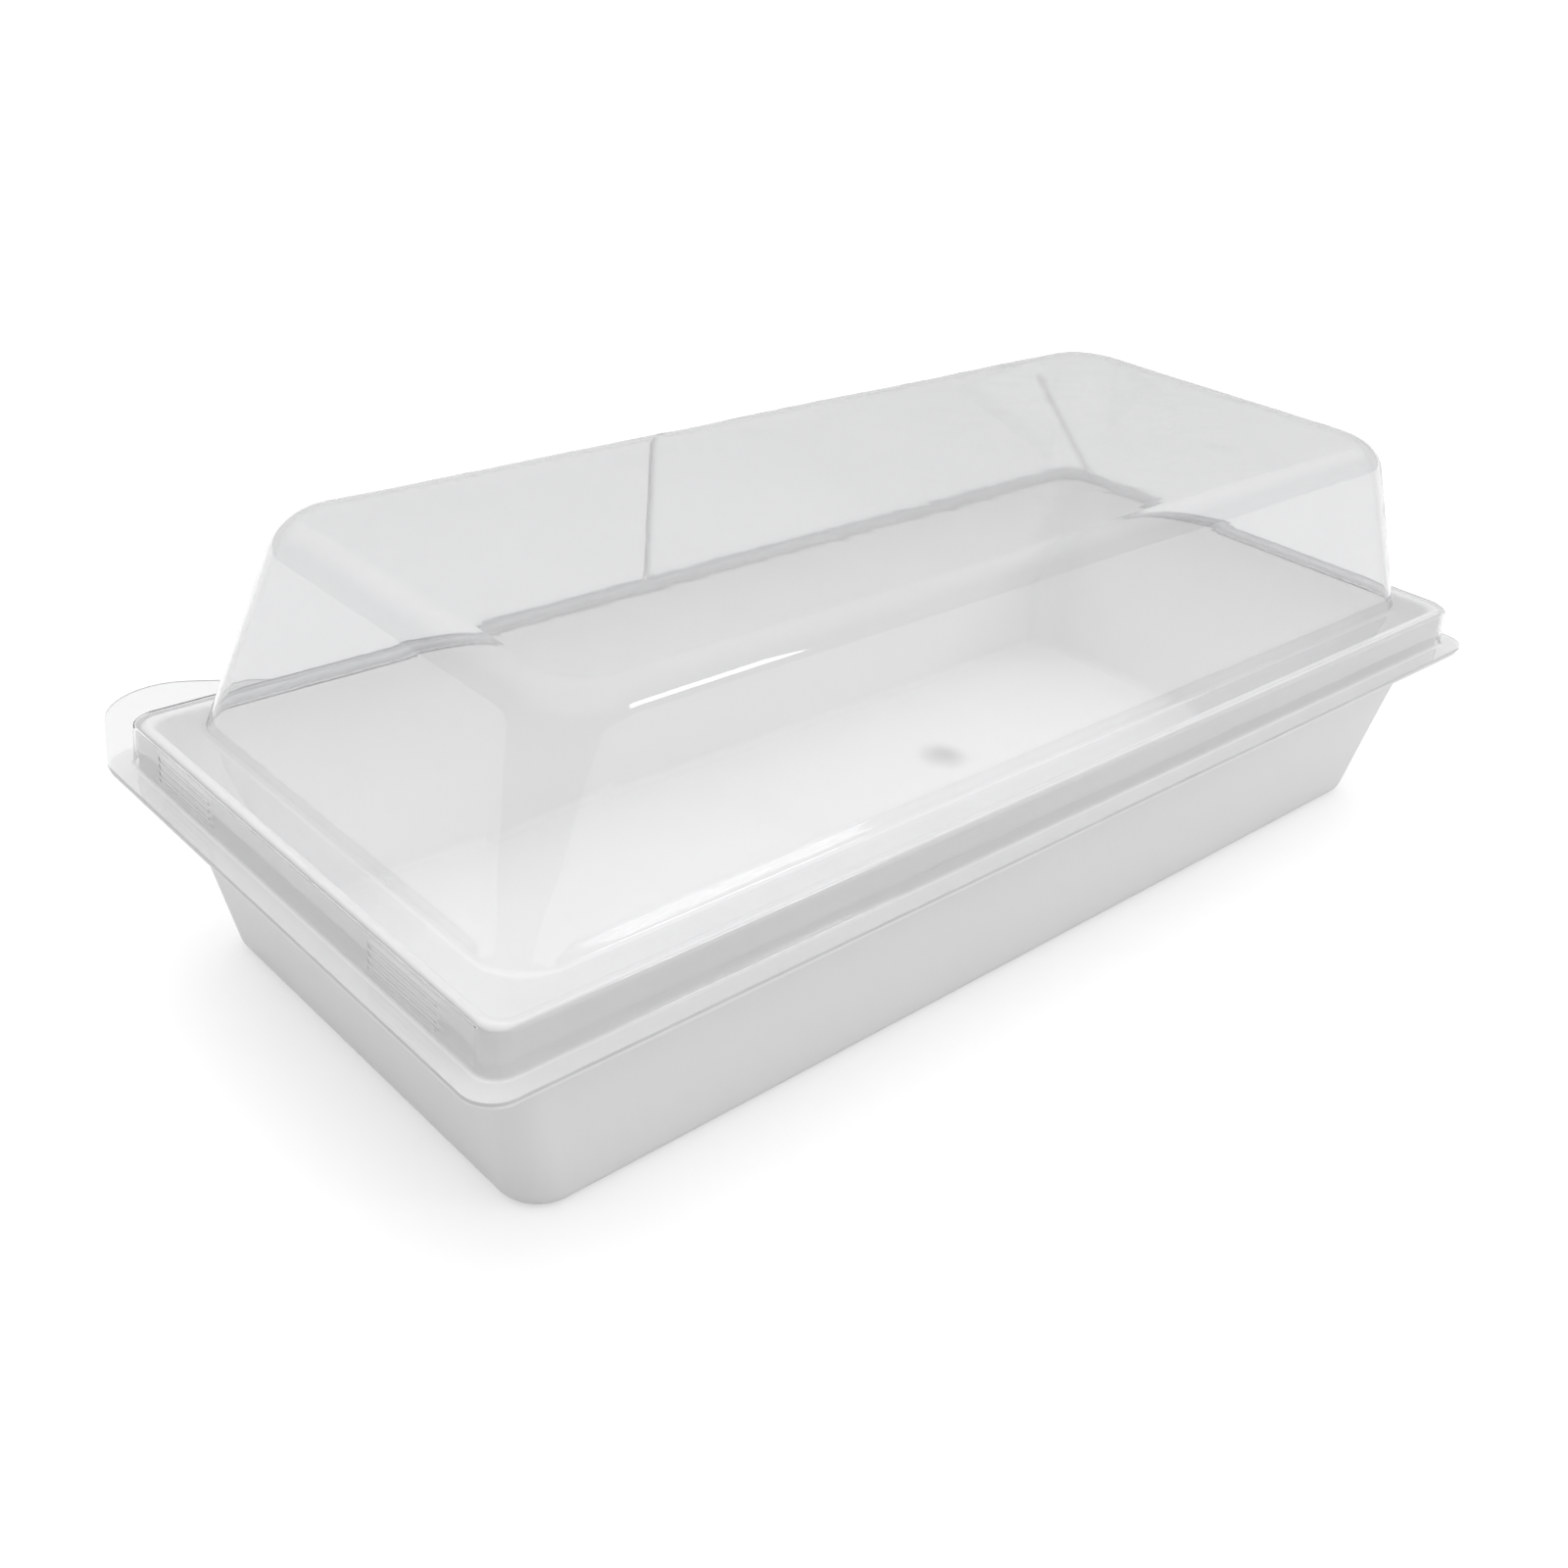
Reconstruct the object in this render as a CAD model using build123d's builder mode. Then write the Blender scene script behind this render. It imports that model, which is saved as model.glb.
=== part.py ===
"""Soap loaf mould: a thin white tapered tray and the clear domed lid that closes over its rim.

Both pieces are formed from sheet, so each is a shell of one thickness.
Millimetres, +Z up. The origin is the centre of the tray's foot, on the surface it stands on.
X runs along the loaf, and the lid's thumb tab is near the -X end of the +Y side.
"""
from build123d import *

import os

# ---- Sheets and clearance ----
tray_sheet = 0.7
lid_sheet = 0.5
nest_gap = 0.3  # between the two pieces, everywhere

# ---- Outside of the closed mould ----
rim_length = 230.0  # over the lid's skirt, at its shoulder
rim_width = 99.0
rim_radius = 3.5
closed_height = 75.0
shoulder_level = 41.0
flange_level = 32.0  # underside of the tray's flange
flange_reach = 3.3  # of the lid's flange, beyond the foot of its skirt
flange_radius = 5.0
skirt_flare = 0.5  # how far the skirt spreads on its way down, each side

# ---- Tray ----
foot_length = 210.0
foot_width = 86.0
foot_radius = 7.0
foot_edge_radius = 2.5
bead_width = 1.7  # flat top of the rim, from the mouth to the outer leg
bead_edge_radius = 0.4
tray_flange_setback = 0.3  # behind the edge of the lid's flange
pip_radius = 5.0  # shallow raised pip in the floor
pip_rise = 0.8
pip_x = 41.0
pip_y = 15.5

# ---- Lid ----
dome_foot_inset_x = 7.0  # from the skirt to the foot of the dome's wall
dome_foot_inset_y = 6.0
dome_foot_radius = 8.0
dome_top_inset_x = 17.5  # from the skirt to where wall and roof would meet
dome_top_inset_y = 10.5
dome_top_radius = 12.0
dome_edge_radius = 5.5
shoulder_fillet = 1.0
crease_x = -20.0  # upright crease in the +Y wall of the dome
crease_width = 1.6
crease_rise = 0.6
crease_foot_gap = 3.0  # from the shoulder up to the crease
crease_top_gap = 7.0  # from the crease up to the roof

# ---- Thumb tab, part of the lid's flange ----
tab_radius = 12.0
tab_inset = 17.0  # of its centre from the end of the flange
tab_reach = 6.0  # of its centre beyond the side of the flange
tab_root = 50.0  # length of flange that it grows from

# ---- Snap bars, two stacks on each end ----
bar_length = 16.0
bar_height = 0.6
bar_pitch = 1.2
bar_count = 4
bar_centre_y = 30.0
bar_centre_level = 36.8
bar_root = 0.3  # depth by which a bar is sunk into its sheet
lid_bar_rise = 0.35
tray_bar_rise = 0.15

# ---- Sizes that follow ----
lid_flange_level = flange_level + tray_sheet + nest_gap
leg_inset = lid_sheet + nest_gap  # outer leg of the tray's rim, behind the lid's skirt
bead_level = shoulder_level - leg_inset
wall_inset = leg_inset + bead_width - tray_sheet  # outside of the tray's wall at the bead
lid_flange_size = (
    rim_length + 2 * (skirt_flare + flange_reach),
    rim_width + 2 * (skirt_flare + flange_reach),
)
tray_flange_size = tuple(side - 2 * tray_flange_setback for side in lid_flange_size)


def rim_section(inset_x, inset_y, radius, level):
    """A rounded rectangle (length, width, radius, level) set in from the lid's skirt."""
    return rim_length - 2 * inset_x, rim_width - 2 * inset_y, radius, level


def section_between(lower, upper, level, inset):
    """The section that a solid lofted from lower to upper has at a level, set in by inset."""
    share = (level - lower[3]) / (upper[3] - lower[3])
    length, width, radius = (low + share * (high - low) for low, high in zip(lower[:3], upper[:3]))
    return length - 2 * inset, width - 2 * inset, radius - inset, level


def lofted(lower, upper):
    """A solid that rises straight from one rounded rectangle to another."""
    with BuildPart() as solid:
        for length, width, radius, level in (lower, upper):
            with BuildSketch(Plane.XY.offset(level)):
                RectangleRounded(length, width, radius)
        loft(ruled=True)
    return solid.part


def snap_bars(inset, rise):
    """Stacks of bars on both ends, standing out by rise from a face at this inset."""
    depth = rise + bar_root
    centre_x = rim_length / 2 - inset + rise - depth / 2
    with BuildPart() as bars:
        for end in (-1, 1):
            for row in range(bar_count):
                level = bar_centre_level + (row - (bar_count - 1) / 2) * bar_pitch
                with Locations((end * centre_x, 0, level)):
                    with GridLocations(0, 2 * bar_centre_y, 1, 2):
                        Box(depth, bar_length, bar_height)
    return bars.part


# ---- Tray ----
tray_foot = (foot_length, foot_width, foot_radius, 0)
tray_brim = rim_section(wall_inset, wall_inset, rim_radius, bead_level)
leg_foot = rim_section(leg_inset - skirt_flare, leg_inset - skirt_flare, rim_radius, flange_level)
leg_top = rim_section(leg_inset, leg_inset, rim_radius, bead_level)
leg_inside_foot = section_between(leg_foot, leg_top, flange_level, tray_sheet)
leg_inside_top = section_between(leg_foot, leg_top, bead_level - tray_sheet, tray_sheet)

with BuildPart() as vessel:
    add(lofted(tray_foot, tray_brim))
    fillet(vessel.faces().sort_by(Axis.Z)[0].edges(), foot_edge_radius)

with BuildPart() as cavity:
    add(lofted(
        section_between(tray_foot, tray_brim, tray_sheet, tray_sheet),
        section_between(tray_foot, tray_brim, bead_level, tray_sheet),
    ))
    fillet(cavity.faces().sort_by(Axis.Z)[0].edges(), foot_edge_radius - tray_sheet)

cap_radius = (pip_radius**2 + pip_rise**2) / (2 * pip_rise)
with BuildPart() as pip:
    with Locations((pip_x, pip_y, tray_sheet + pip_rise - cap_radius)):
        Sphere(cap_radius)
    split(bisect_by=Plane.XY.offset(tray_sheet), keep=Keep.TOP)

with BuildPart() as tray:
    # Rim: a flat bead with an outer leg, open underneath, and a flange round its foot
    add(lofted(leg_foot, leg_top))
    with BuildSketch(Plane.XY.offset(flange_level)):
        RectangleRounded(*tray_flange_size, flange_radius)
    extrude(amount=tray_sheet)
    add(lofted(leg_inside_foot, leg_inside_top), mode=Mode.SUBTRACT)
    # Vessel
    add(vessel.part)
    add(cavity.part, mode=Mode.SUBTRACT)
    fillet(tray.edges().group_by(Axis.Z)[-1], bead_edge_radius)
    # Pip, solid first, then hollowed from below
    add(pip.part)
    with Locations((pip_x, pip_y, pip_rise - cap_radius)):
        Sphere(cap_radius, mode=Mode.SUBTRACT)
    add(snap_bars(leg_inset, tray_bar_rise))

tray.part.label = "tray"
os.makedirs("parts", exist_ok=True)
export_step(tray.part, "parts/tray.step")

# ---- Lid ----
skirt_foot = rim_section(-skirt_flare, -skirt_flare, rim_radius, lid_flange_level)
skirt_top = rim_section(0, 0, rim_radius, shoulder_level)
dome_foot = rim_section(dome_foot_inset_x, dome_foot_inset_y, dome_foot_radius, shoulder_level)
dome_top = rim_section(dome_top_inset_x, dome_top_inset_y, dome_top_radius, closed_height)

with BuildPart() as outside:
    add(lofted(skirt_foot, skirt_top))
    fillet(outside.faces().sort_by(Axis.Z)[-1].edges(), shoulder_fillet)
    add(lofted(dome_foot, dome_top))
    fillet(outside.faces().sort_by(Axis.Z)[-1].edges(), dome_edge_radius)

inner_shoulder = shoulder_level - lid_sheet
inner_roof = closed_height - lid_sheet
with BuildPart() as inside:
    add(lofted(
        section_between(skirt_foot, skirt_top, lid_flange_level, lid_sheet),
        section_between(skirt_foot, skirt_top, inner_shoulder, lid_sheet),
    ))
    fillet(inside.faces().sort_by(Axis.Z)[-1].edges(), shoulder_fillet - lid_sheet)
    add(lofted(
        section_between(dome_foot, dome_top, inner_shoulder, lid_sheet),
        section_between(dome_foot, dome_top, inner_roof, lid_sheet),
    ))
    fillet(inside.faces().sort_by(Axis.Z)[-1].edges(), dome_edge_radius - lid_sheet)

# Crease: a narrow upright fold that stands out of the dome's +Y wall
wall_foot_y = rim_width / 2 - dome_foot_inset_y
wall_slope = (dome_top_inset_y - dome_foot_inset_y) / (closed_height - shoulder_level)
crease_foot = shoulder_level + crease_foot_gap
crease_top = closed_height - crease_top_gap
with BuildPart() as crease:
    with BuildSketch(Plane.YZ.offset(crease_x)):
        with BuildLine():
            Polyline(
                *(
                    (wall_foot_y - wall_slope * (level - shoulder_level) + stand_out, level)
                    for level, stand_out in (
                        (crease_foot, -lid_sheet / 2),
                        (crease_foot, crease_rise),
                        (crease_top, crease_rise),
                        (crease_top, -lid_sheet / 2),
                    )
                ),
                close=True,
            )
        make_face()
    extrude(amount=crease_width / 2, both=True)

# Flange with the thumb tab, drawn as the hull of three circles that touch the flange's outline
flange_x, flange_y = (side / 2 for side in lid_flange_size)
tab_circles = (
    (flange_radius, -flange_x + flange_radius, flange_y - flange_radius),
    (tab_radius, -flange_x + tab_inset, flange_y + tab_reach),
    (flange_radius, -flange_x + tab_root, flange_y - flange_radius),
)
with BuildPart() as lid:
    with BuildSketch(Plane.XY.offset(lid_flange_level)):
        RectangleRounded(*lid_flange_size, flange_radius)
        with BuildSketch() as tab:
            for circle_radius, circle_x, circle_y in tab_circles:
                with Locations((circle_x, circle_y)):
                    Circle(circle_radius)
            make_hull()
    extrude(amount=lid_sheet)
    add(outside.part)
    add(inside.part, mode=Mode.SUBTRACT)
    add(crease.part)
    add(snap_bars(0, lid_bar_rise))

lid.part.label = "lid"
export_step(lid.part, "parts/lid.step")
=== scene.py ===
"""Soap loaf mould: a white formed tray and its clear domed lid, in a plain pale studio."""
import math

import bpy
import numpy as np
from mathutils import Matrix, Vector


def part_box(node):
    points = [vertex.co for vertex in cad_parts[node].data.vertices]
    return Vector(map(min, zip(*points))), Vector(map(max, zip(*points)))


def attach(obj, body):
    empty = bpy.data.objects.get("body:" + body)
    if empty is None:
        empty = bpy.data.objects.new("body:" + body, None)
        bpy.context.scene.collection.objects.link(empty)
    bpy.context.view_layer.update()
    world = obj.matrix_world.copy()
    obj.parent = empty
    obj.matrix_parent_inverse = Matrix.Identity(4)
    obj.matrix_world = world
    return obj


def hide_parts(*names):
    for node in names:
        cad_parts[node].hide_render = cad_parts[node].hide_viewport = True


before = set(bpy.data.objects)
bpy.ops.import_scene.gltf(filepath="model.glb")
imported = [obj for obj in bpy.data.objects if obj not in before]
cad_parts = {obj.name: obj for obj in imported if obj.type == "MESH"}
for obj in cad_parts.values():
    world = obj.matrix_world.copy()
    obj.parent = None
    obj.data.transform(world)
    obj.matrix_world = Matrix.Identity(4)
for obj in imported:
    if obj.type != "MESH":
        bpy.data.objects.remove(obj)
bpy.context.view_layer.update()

MM = 0.001

# ---- Driving sizes, in millimetres; outer sizes are read from the frame ----
TRAY_SHEET = 0.7
LID_SHEET = 0.5
NEST_GAP = 0.3
FLANGE_GAP = 0.12  # the two flanges lie closer than the sheets above them
TRAY_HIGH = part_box("tray")[1] / MM
LID_LOW, LID_HIGH = (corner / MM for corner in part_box("lid"))
LID_FLANGE_X = LID_HIGH.x
LID_FLANGE_Y = -LID_LOW.y
LID_FLANGE_TOP = LID_LOW.z + LID_SHEET
ROOF_LEVEL = LID_HIGH.z
BEAD_LEVEL = TRAY_HIGH.z
SHOULDER_LEVEL = BEAD_LEVEL + NEST_GAP + LID_SHEET
TRAY_FLANGE_TOP = LID_LOW.z - FLANGE_GAP

FLANGE_REACH = 3.3
FLANGE_RADIUS = 5.0
SKIRT_FLARE = 0.5
SKIRT_X = LID_FLANGE_X - FLANGE_REACH - SKIRT_FLARE
SKIRT_Y = LID_FLANGE_Y - FLANGE_REACH - SKIRT_FLARE
SKIRT_RADIUS = 3.5
LEG_INSET = LID_SHEET + NEST_GAP
BEAD_WIDTH = 1.7
FOOT_X = 105.0
FOOT_Y = 43.0
FOOT_RADIUS = 7.0


# ---- Formed sheet: rounded rectangles joined along a profile ----
ARC_STEPS = 12  # in each half of a corner


def section(half_x, half_y, radius, level):
    return np.array([half_x, half_y, radius, level], float)


def inward(sec, amount):
    return sec - np.array([amount, amount, amount, 0])


def bend(before, corner, after, reach, steps):
    """Sections round a bend at a corner of the profile, an arc that starts reach short of it."""
    to_before, to_after = (
        (other - corner) / np.linalg.norm((other - corner)[[1, 3]]) for other in (before, after)
    )
    start, end = corner + reach * to_before, corner + reach * to_after
    turn = math.pi - math.acos(np.clip(to_before[[1, 3]] @ to_after[[1, 3]], -1, 1))
    weight = math.cos(turn / 2)
    sections = []
    for t in np.linspace(0, 1, steps + 1):
        shares = np.array([(1 - t) ** 2, 2 * weight * t * (1 - t), t**2])
        sections.append(shares @ np.array([start, corner, end]) / shares.sum())
    return sections


def profile(corners, bends, spacings):
    """Sections along a profile. Each bend is (reach, steps), and each straight run has a spacing."""
    line = [corners[0]]
    for i, spacing in enumerate(spacings):
        last_run = i == len(spacings) - 1
        if last_run:
            rounded = [corners[-1]]
        else:
            rounded = bend(*corners[i : i + 3], *bends[i])
        gap = np.linalg.norm((rounded[0] - line[-1])[[1, 3]])
        steps = max(1, round(gap / spacing))
        line += [line[-1] + (rounded[0] - line[-1]) * k / steps for k in range(1, steps)]
        line += rounded
    return line


def stations(half, spacing, fine_spans=()):
    """Places along a straight side from -1 to 1, with spans (low, high, spacing) sampled finely."""
    places = list(np.linspace(-half, half, round(2 * half / spacing) + 1))
    for low, high, fine in fine_spans:
        places = [p for p in places if not low - spacing / 3 < p < high + spacing / 3]
        places += list(np.linspace(low, high, round((high - low) / fine) + 1))
    return np.array(sorted(places)) / half


def perimeter(sec, along_x, along_y):
    """Points round a section, anticlockwise from the middle of the (-X, -Y) corner."""
    half_x, half_y, radius, level = sec
    centre_x, centre_y = half_x - radius, half_y - radius
    eighth = np.linspace(0, math.pi / 4, ARC_STEPS + 1)
    sides = []
    for turn, (reach, across, straight) in enumerate(
        ((centre_x, half_y, along_x), (centre_y, half_x, along_y)) * 2
    ):
        arc_x = reach + radius * np.sin(eighth[1:-1])
        arc_y = -across + radius * (1 - np.cos(eighth[1:-1]))
        run_x = np.concatenate([-arc_x[::-1], straight * reach, arc_x])
        run_y = np.concatenate([arc_y[::-1], np.full(len(straight), -across), arc_y])
        first = (-reach - radius * math.sin(math.pi / 4), -across + radius * (1 - math.cos(math.pi / 4)))
        run_x, run_y = np.concatenate([[first[0]], run_x]), np.concatenate([[first[1]], run_y])
        for _ in range(turn):
            run_x, run_y = -run_y, run_x
        sides.append(np.stack([run_x, run_y, np.full(len(run_x), level)], 1))
    return sides


def sheet_mesh(name, sections, along_x, along_y, edge_loop=None):
    """An open sheet: a grid inside the first section, then a band from each section to the next."""
    loops = [np.concatenate(perimeter(sec, along_x, along_y)) for sec in sections]
    if edge_loop is not None:
        loops = edge_loop(loops)
    south, east, north, west = perimeter(sections[0], along_x, along_y)
    columns, rows = len(south), len(east)
    south = np.concatenate([south, east[:1]])
    east = np.concatenate([east, north[:1]])
    north = np.concatenate([north, west[:1]])[::-1]
    west = np.concatenate([west, south[:1]])[::-1]
    u = (south[:, 0] - south[0, 0]) / (south[-1, 0] - south[0, 0])
    v = (west[:, 1] - west[0, 1]) / (west[-1, 1] - west[0, 1])
    u, v = u[:, None, None], v[None, :, None]
    patch = (1 - v) * south[:, None] + v * north[:, None] + (1 - u) * west[None] + u * east[None]
    patch -= (1 - u) * (1 - v) * south[0] + u * (1 - v) * south[-1]
    patch -= (1 - u) * v * north[0] + u * v * north[-1]

    count = len(loops[0])
    points = np.concatenate(loops)
    index = np.full((columns + 1, rows + 1), -1)
    index[:-1, 0] = np.arange(columns)
    index[-1, :-1] = columns + np.arange(rows)
    index[:0:-1, -1] = columns + rows + np.arange(columns)
    index[0, :0:-1] = 2 * columns + rows + np.arange(rows)
    inner = patch[1:-1, 1:-1].reshape(-1, 3)
    index[1:-1, 1:-1] = len(points) + np.arange(len(inner)).reshape(columns - 1, rows - 1)
    points = np.concatenate([points, inner])

    faces = np.stack([index[:-1, :-1], index[1:, :-1], index[1:, 1:], index[:-1, 1:]], 2).reshape(-1, 4)
    around = np.arange(count)
    following = np.roll(around, -1)
    band = np.stack([around, around + count, following + count, following], 1)
    bands = [band + ring * count for ring in range(len(loops) - 1)]
    mesh = bpy.data.meshes.new(name)
    mesh.from_pydata(points * MM, [], np.concatenate([faces, *bands]).tolist())
    mesh.validate()
    return mesh


def normals(mesh):
    values = np.zeros(len(mesh.vertices) * 3)
    mesh.vertex_normals.foreach_get("vector", values)
    return values.reshape(-1, 3)


def places(mesh):
    values = np.zeros(len(mesh.vertices) * 3)
    mesh.vertices.foreach_get("co", values)
    return values.reshape(-1, 3) / MM


def push(mesh, amounts):
    """Moves each point along its own normal by an amount in millimetres."""
    moved = places(mesh) + normals(mesh) * amounts[:, None]
    mesh.vertices.foreach_set("co", (moved * MM).ravel())
    mesh.update()


def solid_sheet(mesh, thickness, materials):
    """Thickens an open sheet away from its shown face. A second material is for its cut edge."""
    for material in materials:
        mesh.materials.append(material)
    open_sheet = bpy.data.objects.new(mesh.name + "_open", mesh)
    bpy.context.scene.collection.objects.link(open_sheet)
    thicken = open_sheet.modifiers.new("thickness", "SOLIDIFY")
    thicken.thickness = thickness * MM
    thicken.offset = -1
    thicken.use_even_offset = True
    thicken.material_offset_rim = len(materials) - 1
    bpy.context.view_layer.update()
    evaluated = open_sheet.evaluated_get(bpy.context.evaluated_depsgraph_get())
    solid = bpy.data.meshes.new_from_object(evaluated)
    bpy.data.objects.remove(open_sheet)
    solid.shade_smooth()
    solid.set_sharp_from_angle(angle=math.radians(40))
    return solid


def add_piece(name, mesh, body, node):
    piece = bpy.data.objects.new(name, mesh)
    bpy.context.scene.collection.objects.link(piece)
    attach(piece, body)
    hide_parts(node)


def ripple(points, length, seed):
    """A smooth wave from -1 to 1, the mean of a few crossed sines of about this length."""
    total = 0
    for k in range(4):
        angle = seed + 2.4 * k
        direction = np.array([math.cos(angle), math.sin(angle), math.cos(2 * angle + 1)])
        total = total + np.sin(points @ direction * 2 * math.pi / (length * (0.8 + 0.2 * k)) + seed * k)
    return total / 4


def smooth_step(x, low, high):
    t = np.clip((x - low) / (high - low), 0, 1)
    return t * t * (3 - 2 * t)


def bump_between(x, low, high, edge):
    """1 between low and high, falling smoothly to 0 over edge outside them."""
    return smooth_step(x, low - edge, low) * (1 - smooth_step(x, high, high + edge))


# ---- Snap bars on the ends ----
BAR_LENGTH = 16.0
BAR_HEIGHT = 0.6
BAR_PITCH = 1.2
BAR_COUNT = 4
BAR_CENTRE_Y = 30.0
BAR_CENTRE_LEVEL = 36.8
BAR_CREST = BAR_HEIGHT / 4  # half of the flat top
BAR_FALL = BAR_PITCH / 2 - BAR_CREST  # from there to the valley
BAR_END_FALL = 0.5
LID_BAR_RISE = 0.05
TRAY_BAR_RISE = 0.2
END_WALL_DEPTH = 1.0  # points within this of the end face belong to it


def snap_bars(points, end_x, rise):
    """How far each point stands out, in the stacks of bars on both ends of a skirt or leg."""
    from_centre = np.abs(np.abs(points[:, 1]) - BAR_CENTRE_Y)
    along = 1 - smooth_step(from_centre, BAR_LENGTH / 2, BAR_LENGTH / 2 + BAR_END_FALL)
    total = 0
    for row in range(BAR_COUNT):
        level = BAR_CENTRE_LEVEL + (row - (BAR_COUNT - 1) / 2) * BAR_PITCH
        total = total + bump_between(points[:, 2], level - BAR_CREST, level + BAR_CREST, BAR_FALL)
    return rise * along * total * (np.abs(points[:, 0]) > end_x - END_WALL_DEPTH)


# Spans (low, high, spacing) that are sampled finely, round the ends of the bars
BAR_END_MARGIN = 1.0
end_spans = []
for side in (-1, 1):
    for end in (-1, 1):
        bar_end = side * BAR_CENTRE_Y + end * BAR_LENGTH / 2
        end_spans.append((bar_end - BAR_END_MARGIN, bar_end + BAR_END_MARGIN, 0.35))
# The same for the creases. They are on the +Y side, which runs from +X to -X, so x is reversed.
CREASE_SPAN = (16.0, 31.0, 0.4)
FOLD_SPAN = (-110.0, -80.0, 0.8)
SIDE_SPACING = 2.6
END_SPACING = 2.4
along_x = stations(SKIRT_X - SKIRT_RADIUS, SIDE_SPACING, [CREASE_SPAN, FOLD_SPAN])
along_y = stations(SKIRT_Y - SKIRT_RADIUS, END_SPACING, end_spans)


PIP_X, PIP_Y, PIP_RADIUS, PIP_RISE = 41.0, 15.5, 5.0, 0.8
PIP_MARK_RADIUS = 7.0  # of the darker grey spot round it


# ---- Materials ----
def new_material(name):
    material = bpy.data.materials.new(name)
    material.use_nodes = True
    nodes, links = material.node_tree.nodes, material.node_tree.links
    return material, nodes, links


def surface_noise(nodes, links, scale, detail):
    where = nodes.new("ShaderNodeTexCoord")
    noise = nodes.new("ShaderNodeTexNoise")
    noise.inputs["Scale"].default_value = scale
    noise.inputs["Detail"].default_value = detail
    links.new(where.outputs["Object"], noise.inputs["Vector"])
    return noise.outputs["Fac"]


def white_plastic():
    """Satin white formed sheet, a little translucent, with faint clouds in its tone and gloss."""
    material, nodes, links = new_material("white_plastic")
    shader = nodes["Principled BSDF"]
    shader.inputs["IOR"].default_value = 1.5
    shader.inputs["Subsurface Weight"].default_value = 0.2
    shader.inputs["Subsurface Radius"].default_value = (1, 1, 1)
    shader.inputs["Subsurface Scale"].default_value = 0.003
    tone = nodes.new("ShaderNodeMix")
    tone.data_type = "RGBA"
    tone.inputs["A"].default_value = (0.88, 0.88, 0.882, 1)
    tone.inputs["B"].default_value = (0.915, 0.915, 0.917, 1)
    links.new(surface_noise(nodes, links, 25, 3), tone.inputs["Factor"])
    # A darker grey spot round the pip on the floor, fading out to the plain tone at PIP_MARK_RADIUS.
    where = nodes.new("ShaderNodeTexCoord")
    from_pip = nodes.new("ShaderNodeVectorMath")
    from_pip.operation = "DISTANCE"
    from_pip.inputs[1].default_value = (PIP_X * MM, PIP_Y * MM, TRAY_SHEET * MM)
    links.new(where.outputs["Object"], from_pip.inputs[0])
    spot_fade = nodes.new("ShaderNodeMapRange")
    spot_fade.interpolation_type = "SMOOTHSTEP"
    spot_fade.inputs["From Max"].default_value = PIP_MARK_RADIUS * MM
    links.new(from_pip.outputs["Value"], spot_fade.inputs["Value"])
    mark = nodes.new("ShaderNodeMix")
    mark.data_type = "RGBA"
    mark.inputs["A"].default_value = (0.58, 0.58, 0.58, 1)
    links.new(spot_fade.outputs["Result"], mark.inputs["Factor"])
    links.new(tone.outputs["Result"], mark.inputs["B"])
    links.new(mark.outputs["Result"], shader.inputs["Base Color"])
    rough = nodes.new("ShaderNodeMapRange")
    rough.inputs["To Min"].default_value = 0.32
    rough.inputs["To Max"].default_value = 0.42
    links.new(surface_noise(nodes, links, 60, 2), rough.inputs["Value"])
    links.new(rough.outputs["Result"], shader.inputs["Roughness"])
    bump = nodes.new("ShaderNodeBump")
    bump.inputs["Strength"].default_value = 0.15
    bump.inputs["Distance"].default_value = 0.0004
    links.new(surface_noise(nodes, links, 300, 3), bump.inputs["Height"])
    links.new(bump.outputs["Normal"], shader.inputs["Normal"])
    return material


def clear_plastic():
    """Clear formed sheet. Light on its way to what is under it passes straight through."""
    material, nodes, links = new_material("clear_plastic")
    shader = nodes["Principled BSDF"]
    # Painted shade: the sheet is darker along its creases and the fold, standing in for the dark line a
    # bent clear sheet shows.
    crease_shade = nodes.new("ShaderNodeAttribute")
    crease_shade.attribute_name = "crease_shade"
    tone = nodes.new("ShaderNodeMix")
    tone.data_type = "RGBA"
    tone.inputs["A"].default_value = (0.77, 0.773, 0.776, 1)
    tone.inputs["B"].default_value = (0.52, 0.52, 0.525, 1)
    links.new(crease_shade.outputs["Fac"], tone.inputs["Factor"])
    links.new(tone.outputs["Result"], shader.inputs["Base Color"])
    shader.inputs["IOR"].default_value = 1.5
    shader.inputs["Transmission Weight"].default_value = 1.0
    shader.inputs["Roughness"].default_value = 0.03
    bump = nodes.new("ShaderNodeBump")
    bump.inputs["Strength"].default_value = 0.2
    bump.inputs["Distance"].default_value = 0.0004
    links.new(surface_noise(nodes, links, 60, 2), bump.inputs["Height"])
    links.new(bump.outputs["Normal"], shader.inputs["Normal"])
    path = nodes.new("ShaderNodeLightPath")
    shown = shader.outputs["BSDF"]
    for ray in ("Is Diffuse Ray", "Is Shadow Ray"):
        straight = nodes.new("ShaderNodeBsdfTransparent")
        straight.inputs["Color"].default_value = (1, 1, 1, 1)
        mix = nodes.new("ShaderNodeMixShader")
        links.new(path.outputs[ray], mix.inputs["Fac"])
        links.new(shown, mix.inputs[1])
        links.new(straight.outputs["BSDF"], mix.inputs[2])
        shown = mix.outputs["Shader"]
    links.new(shown, nodes["Material Output"].inputs["Surface"])
    return material


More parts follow.
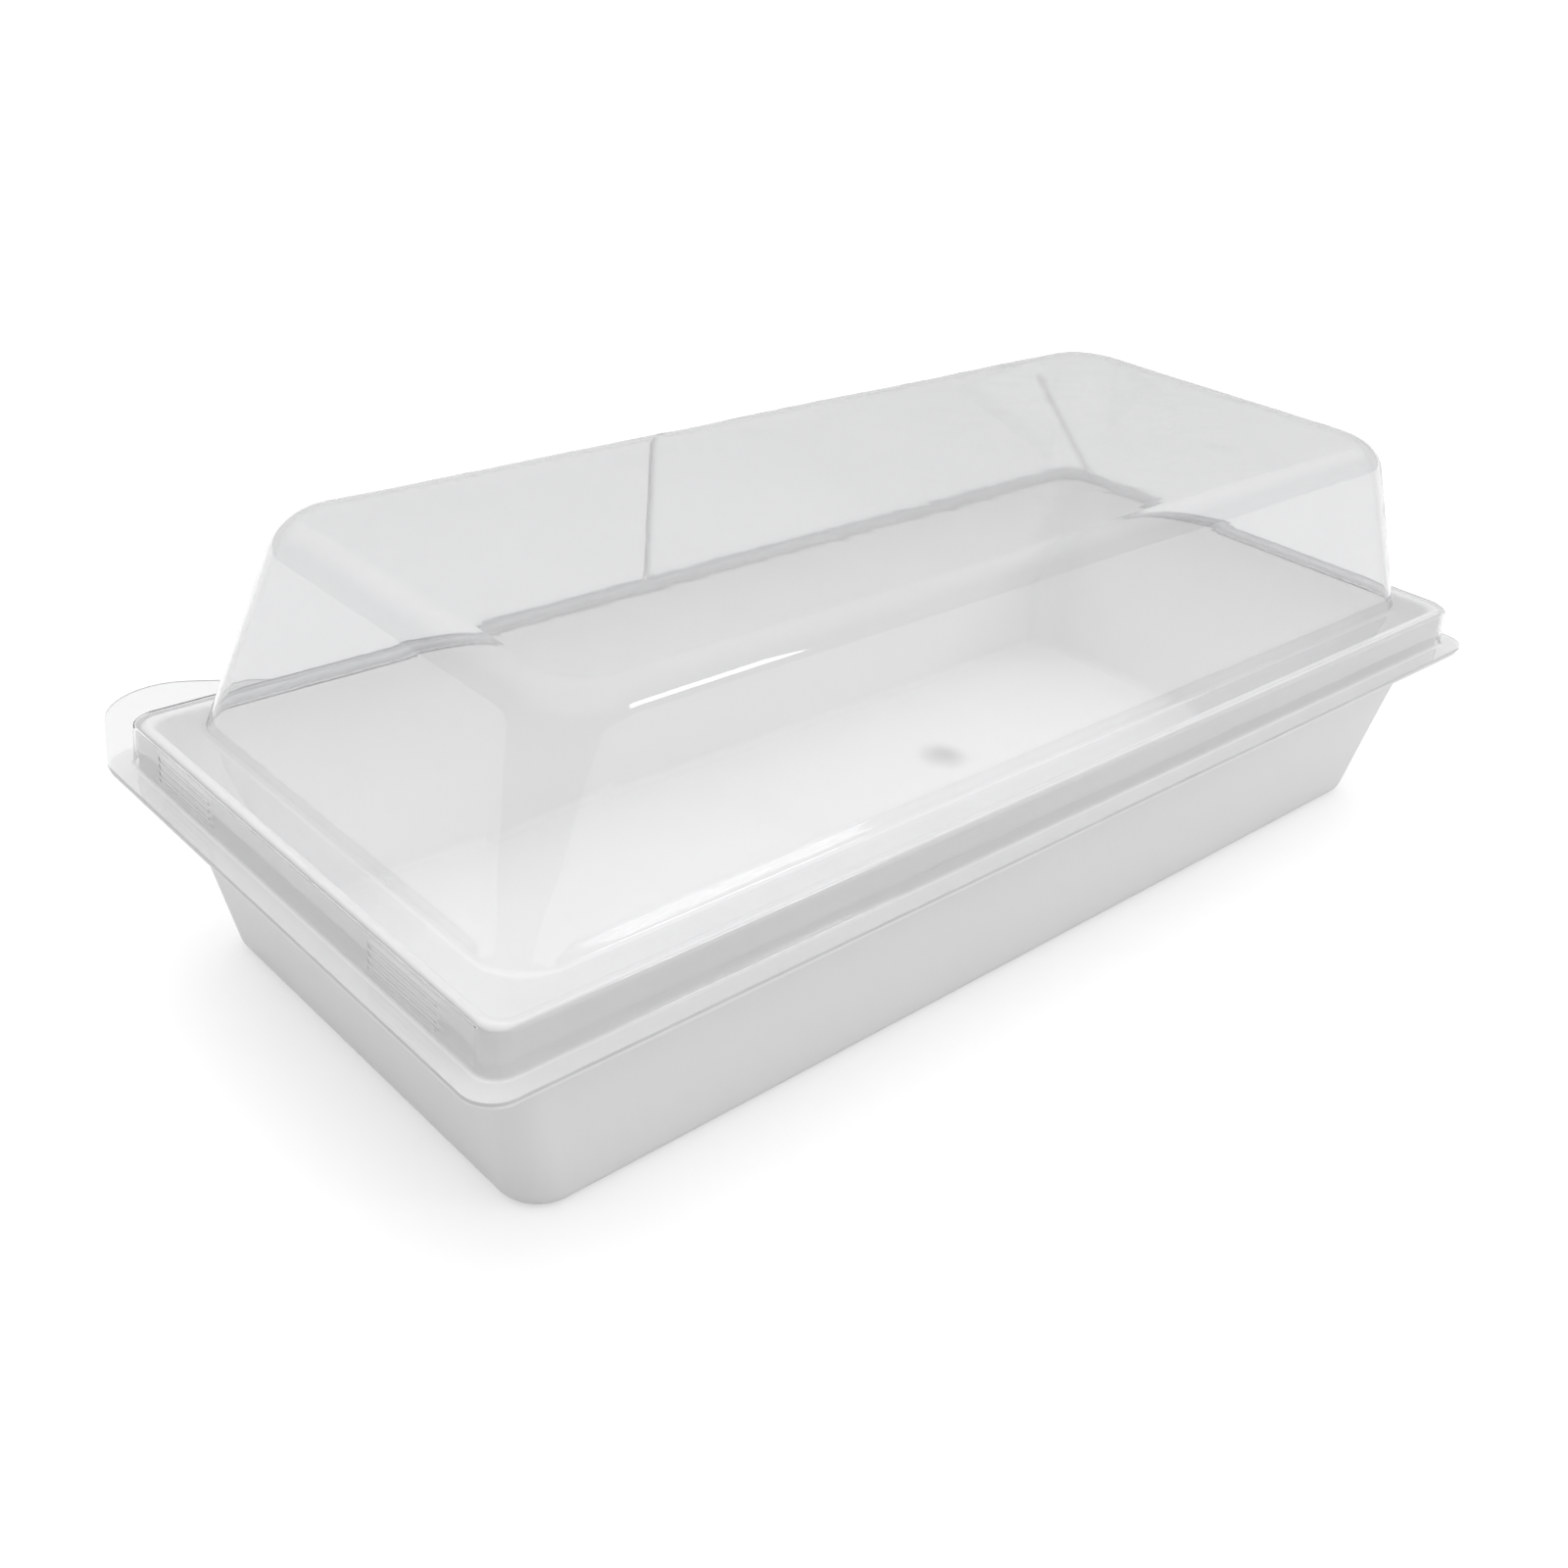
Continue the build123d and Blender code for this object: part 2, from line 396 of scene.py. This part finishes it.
def cut_edge():
    """The lid's cut edge, frosted by the cutter, in faint uneven streaks."""
    material, nodes, links = new_material("clear_plastic_edge")
    shader = nodes["Principled BSDF"]
    shader.inputs["IOR"].default_value = 1.5
    shader.inputs["Roughness"].default_value = 0.45
    tone = nodes.new("ShaderNodeMix")
    tone.data_type = "RGBA"
    tone.inputs["A"].default_value = (0.60, 0.60, 0.605, 1)
    tone.inputs["B"].default_value = (0.76, 0.76, 0.765, 1)
    links.new(surface_noise(nodes, links, 120, 2), tone.inputs["Factor"])
    links.new(tone.outputs["Result"], shader.inputs["Base Color"])
    return material


# ---- Tray ----

# From the floor to the flange: bends (reach, steps) and the spacing of sections on each run
TRAY_BENDS = ((1.5, 7), (0.8, 5), (0.8, 5), (0.5, 4))
TRAY_SPACINGS = (1.0, 2.5, 1.0, 0.2, 1.0)
FLOOR_MARGIN = 5.2  # from the corner of the profile in to the first section
TRAY_WAVE, TRAY_WAVE_LENGTH = 0.12, 55


def make_tray():
    floor = inward(section(FOOT_X, FOOT_Y, FOOT_RADIUS, TRAY_SHEET), TRAY_SHEET)
    bead = section(SKIRT_X - LEG_INSET, SKIRT_Y - LEG_INSET, SKIRT_RADIUS, BEAD_LEVEL)
    mouth = bead - np.array([BEAD_WIDTH, BEAD_WIDTH, TRAY_SHEET, 0])
    leg = section(bead[0] + SKIRT_FLARE, bead[1] + SKIRT_FLARE, SKIRT_RADIUS, TRAY_FLANGE_TOP)
    edge = section(TRAY_HIGH.x, TRAY_HIGH.y, FLANGE_RADIUS, TRAY_FLANGE_TOP)
    corners = [inward(floor, FLOOR_MARGIN), floor, mouth, bead, leg, edge]
    sections = profile(corners, TRAY_BENDS, TRAY_SPACINGS)
    mesh = sheet_mesh("tray_sheet", sections, along_x, along_y)
    points = places(mesh)
    wall = bump_between(points[:, 2], 6, 34, 5) * (np.abs(points[:, 0]) < bead[0] - END_WALL_DEPTH)
    push(mesh, TRAY_WAVE * wall * ripple(points, TRAY_WAVE_LENGTH, 1.3))
    points = places(mesh)
    from_pip = np.hypot(points[:, 0] - PIP_X, points[:, 1] - PIP_Y)
    on_floor = points[:, 2] < TRAY_SHEET + 1
    push(mesh, PIP_RISE * on_floor * (1 - smooth_step(from_pip, 0, PIP_RADIUS)))
    push(mesh, snap_bars(places(mesh), bead[0], TRAY_BAR_RISE))
    return solid_sheet(mesh, TRAY_SHEET, [white_plastic()])


# ---- Lid ----
DOME_FOOT_INSET = (7.0, 6.0)
DOME_TOP_INSET = (17.5, 10.5)
DOME_FOOT_RADIUS = 8.0
DOME_TOP_RADIUS = 12.0
CREASE_TOP_X, CREASE_FOOT_X = -21.0, -17.5
CREASE_WIDTH = 1.2
CREASE_RISE = 0.6
FOLD_PLACE = (102.5, 39.6, 50.0)  # on the fold across the (+X, +Y) corner
FOLD_NORMAL = (0.64, -0.494, 0.589)
FOLD_WIDTH = 1.1
FOLD_RISE = 0.6
TAB_RADIUS = 12.0
TAB_INSET = 17.0
TAB_REACH = LID_HIGH.y - TAB_RADIUS - LID_FLANGE_Y
TAB_ROOT = 50.0


def tab_outline(count):
    """Points along the thumb tab's edge, from the side of the flange back to the end's edge."""
    circles = [
        (-LID_FLANGE_X + TAB_ROOT, LID_FLANGE_Y - FLANGE_RADIUS, FLANGE_RADIUS),
        (-LID_FLANGE_X + TAB_INSET, LID_FLANGE_Y + TAB_REACH, TAB_RADIUS),
        (-LID_FLANGE_X + FLANGE_RADIUS, LID_FLANGE_Y - FLANGE_RADIUS, FLANGE_RADIUS),
    ]
    angles = [math.pi / 2]
    for (x0, y0, r0), (x1, y1, r1) in zip(circles, circles[1:]):
        distance = math.hypot(x1 - x0, y1 - y0)
        heading = math.atan2(y1 - y0, x1 - x0)
        angles.append(heading - math.pi / 2 + math.asin((r0 - r1) / distance))
    angles.append(math.pi)
    path = []
    for (x, y, r), first, last in zip(circles, angles, angles[1:]):
        first, last = first % (2 * math.pi), last % (2 * math.pi)
        for angle in np.linspace(first, last, 24):
            path.append((x + r * math.cos(angle), y + r * math.sin(angle)))
    path = np.array(path)
    lengths = np.concatenate([[0], np.cumsum(np.hypot(*np.diff(path, axis=0).T))])
    wanted = np.linspace(0, lengths[-1], count)
    return np.stack([np.interp(wanted, lengths, path[:, 0]), np.interp(wanted, lengths, path[:, 1])], 1)


# From the roof to the flange, as for the tray
LID_BENDS = ((4.6, 10), (0.6, 5), (0.8, 5), (0.5, 4))
LID_SPACINGS = (1.2, 0.9, 1.0, 0.2, 0.8)
ROOF_MARGIN = 8.5
LID_WAVE, LID_WAVE_LENGTH = 0.15, 60
TINY = 0.01


def make_lid():
    roof_x, roof_y = SKIRT_X - DOME_TOP_INSET[0], SKIRT_Y - DOME_TOP_INSET[1]
    roof = section(roof_x, roof_y, DOME_TOP_RADIUS, ROOF_LEVEL)
    foot_x, foot_y = SKIRT_X - DOME_FOOT_INSET[0], SKIRT_Y - DOME_FOOT_INSET[1]
    foot = section(foot_x, foot_y, DOME_FOOT_RADIUS, SHOULDER_LEVEL)
    shoulder = section(SKIRT_X, SKIRT_Y, SKIRT_RADIUS, SHOULDER_LEVEL)
    skirt = section(SKIRT_X + SKIRT_FLARE, SKIRT_Y + SKIRT_FLARE, SKIRT_RADIUS, LID_FLANGE_TOP)
    edge = section(LID_FLANGE_X, LID_FLANGE_Y, FLANGE_RADIUS, LID_FLANGE_TOP)
    corners = [inward(roof, ROOF_MARGIN), roof, foot, shoulder, skirt, edge]
    sections = profile(corners, LID_BENDS, LID_SPACINGS)

    def with_tab(loops):
        outer = loops[-1]
        flat = [i for i, loop in enumerate(loops) if abs(loop[0, 2] - LID_FLANGE_TOP) < TINY]
        beside_tab = outer[:, 1] > LID_FLANGE_Y - FLANGE_RADIUS - TINY
        beside_tab &= outer[:, 0] < -LID_FLANGE_X + TAB_ROOT + TINY
        near = np.nonzero(beside_tab)[0]
        moved = outer.copy()
        moved[near, :2] = tab_outline(len(near))
        start = loops[flat[0]]
        for step, i in enumerate(flat):
            share = step / (len(flat) - 1)
            base = start + (outer - start) * share
            base[near] = start[near] + (moved[near] - start[near]) * share
            loops[i] = base
        return loops

    mesh = sheet_mesh("lid_sheet", sections, along_x, along_y, with_tab)
    points = places(mesh)
    dome = smooth_step(points[:, 2], SHOULDER_LEVEL + 2, SHOULDER_LEVEL + 10)
    push(mesh, LID_WAVE * dome * ripple(points, LID_WAVE_LENGTH, 0.4))
    points = places(mesh)
    up = (points[:, 2] - SHOULDER_LEVEL) / (ROOF_LEVEL - SHOULDER_LEVEL)
    crease_x = CREASE_FOOT_X + (CREASE_TOP_X - CREASE_FOOT_X) * up
    crease = 1 - smooth_step(np.abs(points[:, 0] - crease_x), 0, CREASE_WIDTH)
    crease *= bump_between(up, 0.12, 0.94, 0.06) * (points[:, 1] > 0)
    from_fold = np.abs((points - FOLD_PLACE) @ FOLD_NORMAL)
    fold = (1 - smooth_step(from_fold, 0, FOLD_WIDTH)) * (points[:, 0] > 60) * (points[:, 1] > 0)
    fold *= bump_between(up, 0.08, 0.78, 0.06)
    # The crease and fold masks also carry the painted shade that the lid's material lays along them.
    crease_shade = mesh.attributes.new("crease_shade", "FLOAT", "POINT")
    crease_shade.data.foreach_set("value", np.maximum(crease, fold))
    push(mesh, CREASE_RISE * crease + FOLD_RISE * fold + snap_bars(points, SKIRT_X, LID_BAR_RISE))
    return solid_sheet(mesh, LID_SHEET, [clear_plastic(), cut_edge()])


add_piece("tray_shell", make_tray(), "tray", "tray")
add_piece("lid_shell", make_lid(), "lid", "lid")


# ---- Studio ----
FLOOR_REACH = 12.0


def pale_floor():
    material, nodes, links = new_material("studio_floor")
    shader = nodes["Principled BSDF"]
    shader.inputs["Base Color"].default_value = (0.6, 0.6, 0.6, 1)
    shader.inputs["Emission Color"].default_value = (1, 1, 1, 1)
    shader.inputs["Emission Strength"].default_value = 0.45
    shader.inputs["Roughness"].default_value = 0.9
    shader.inputs["Specular IOR Level"].default_value = 0.2
    dimmer = nodes.new("ShaderNodeBsdfDiffuse")  # what the floor throws back up at the walls
    dimmer.inputs["Color"].default_value = (0.52, 0.52, 0.52, 1)
    path = nodes.new("ShaderNodeLightPath")
    mix = nodes.new("ShaderNodeMixShader")
    links.new(path.outputs["Is Diffuse Ray"], mix.inputs["Fac"])
    links.new(shader.outputs["BSDF"], mix.inputs[1])
    links.new(dimmer.outputs["BSDF"], mix.inputs[2])
    links.new(mix.outputs["Shader"], nodes["Material Output"].inputs["Surface"])
    mesh = bpy.data.meshes.new("floor")
    corners = [(-1, -1), (1, -1), (1, 1), (-1, 1)]
    mesh.from_pydata([(x * FLOOR_REACH, y * FLOOR_REACH, 0) for x, y in corners], [], [(0, 1, 2, 3)])
    floor = bpy.data.objects.new("floor", mesh)
    bpy.context.scene.collection.objects.link(floor)
    mesh.materials.append(material)


TENT_LEVEL = 0.22
SEEN_IN_GLOSS = 0.65  # the least that a reflection meets, as from the white walls of the room
TENT_GLOWS = (  # directions, each with how much the tent glows there
    ((0, 0, 1), 1.34),
    ((0.45, -0.35, 0.82), 0.05),
    ((0.1, -0.85, 0.5), 0.12),
    ((0.5, 0.7, 0.5), 0.45),
)
GLINT_PLACE = Vector((0.545, -0.836, 0.444))
GLINT_WIDTH, GLINT_HEIGHT = 0.22, 0.18
GLINT_POWER = 0.7


def studio_light():
    """A white tent that glows more from some directions, and a small lamp for the dome's glint."""
    world = bpy.data.worlds.new("studio")
    bpy.context.scene.world = world
    world.use_nodes = True
    nodes, links = world.node_tree.nodes, world.node_tree.links
    where = nodes.new("ShaderNodeTexCoord")
    tent = nodes["Background"]
    tent.inputs["Color"].default_value = (1, 1, 1, 1)
    level = None
    for direction, glow in TENT_GLOWS:
        towards = nodes.new("ShaderNodeVectorMath")
        towards.operation = "DOT_PRODUCT"
        towards.inputs[1].default_value = Vector(direction).normalized()
        links.new(where.outputs["Generated"], towards.inputs[0])
        lobe = nodes.new("ShaderNodeMapRange")
        lobe.interpolation_type = "SMOOTHSTEP"
        lobe.inputs["From Min"].default_value = 0.2
        lobe.inputs["To Min"].default_value = 0.0
        lobe.inputs["To Max"].default_value = glow
        links.new(towards.outputs["Value"], lobe.inputs["Value"])
        add = nodes.new("ShaderNodeMath")
        add.inputs[0].default_value = TENT_LEVEL
        if level is not None:
            links.new(level, add.inputs[0])
        links.new(lobe.outputs["Result"], add.inputs[1])
        level = add.outputs["Value"]
    path = nodes.new("ShaderNodeLightPath")
    gloss = nodes.new("ShaderNodeMath")
    gloss.operation = "MULTIPLY"
    gloss.inputs[0].default_value = SEEN_IN_GLOSS
    links.new(path.outputs["Is Glossy Ray"], gloss.inputs[1])
    strength = nodes.new("ShaderNodeMath")
    strength.operation = "MAXIMUM"
    links.new(level, strength.inputs[0])
    links.new(gloss.outputs["Value"], strength.inputs[1])
    links.new(strength.outputs["Value"], tent.inputs["Strength"])
    backdrop = nodes.new("ShaderNodeBackground")  # what the camera meets, bare or through the lid
    backdrop.inputs["Color"].default_value = (1, 1, 1, 1)
    seen = nodes.new("ShaderNodeMath")
    seen.operation = "MAXIMUM"
    links.new(path.outputs["Is Camera Ray"], seen.inputs[0])
    links.new(path.outputs["Is Transmission Ray"], seen.inputs[1])
    mix = nodes.new("ShaderNodeMixShader")
    links.new(seen.outputs["Value"], mix.inputs["Fac"])
    links.new(tent.outputs["Background"], mix.inputs[1])
    links.new(backdrop.outputs["Background"], mix.inputs[2])
    links.new(mix.outputs["Shader"], nodes["World Output"].inputs["Surface"])

    lamp_data = bpy.data.lights.new("glint", "AREA")
    lamp_data.shape = "RECTANGLE"
    lamp_data.size = GLINT_WIDTH
    lamp_data.size_y = GLINT_HEIGHT
    lamp_data.energy = GLINT_POWER
    lamp = bpy.data.objects.new("glint", lamp_data)
    bpy.context.scene.collection.objects.link(lamp)
    lamp.location = GLINT_PLACE
    lamp.rotation_euler = GLINT_PLACE.to_track_quat("Z", "Y").to_euler()


CAMERA_PLACE = (-0.2052, -0.1852, 0.1683)
CAMERA_YAW, CAMERA_PITCH, CAMERA_ROLL = 44.94, 29.35, 4.94
CAMERA_LENS = 39.2


def photo_camera():
    data = bpy.data.cameras.new("camera")
    data.lens = CAMERA_LENS
    data.sensor_width = 36
    camera = bpy.data.objects.new("camera", data)
    bpy.context.scene.collection.objects.link(camera)
    camera.matrix_world = (
        Matrix.Translation(CAMERA_PLACE)
        @ Matrix.Rotation(math.radians(-CAMERA_YAW), 4, "Z")
        @ Matrix.Rotation(math.radians(90 - CAMERA_PITCH), 4, "X")
        @ Matrix.Rotation(math.radians(CAMERA_ROLL), 4, "Z")
    )
    bpy.context.scene.camera = camera


pale_floor()
studio_light()
photo_camera()
bpy.context.scene.view_settings.view_transform = "Standard"
